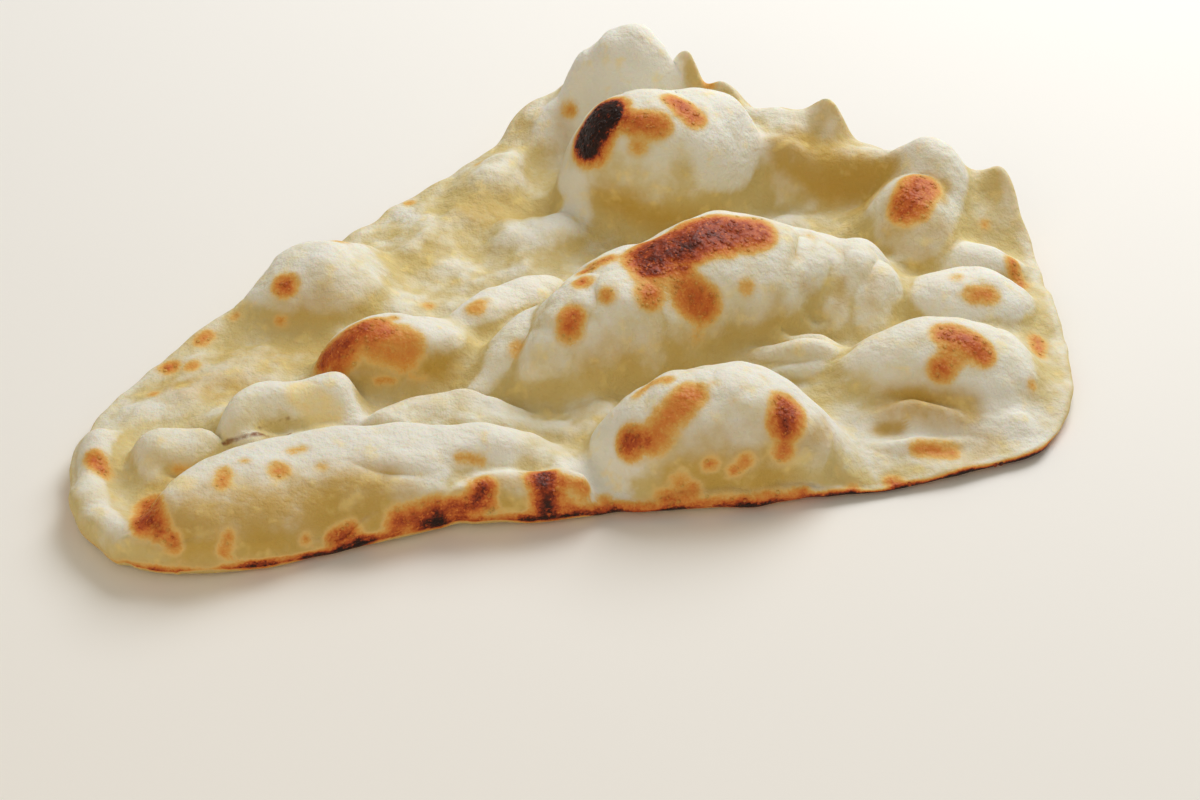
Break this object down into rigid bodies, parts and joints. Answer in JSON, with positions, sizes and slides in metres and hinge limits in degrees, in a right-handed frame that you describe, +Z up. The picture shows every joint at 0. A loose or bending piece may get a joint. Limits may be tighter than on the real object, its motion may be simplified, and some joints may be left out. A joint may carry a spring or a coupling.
{
  "type": "naan bread",
  "caption": "Hand-stretched flatbread with large oven bubbles, soft folds and a raised far edge, lying flat on its flat underside.",
  "frame": {"origin": "on the table, under the middle of the bread's box", "axes": "+X along the bread's length towards its broad end, +Y towards the raised far edge, +Z up"},
  "size_m": [0.2572, 0.2094, 0.0387],
  "materials": {
    "baked_dough": null
  },
  "bodies": {
    "root": {"naan": "baked_dough"}
  },
  "joints": []
}
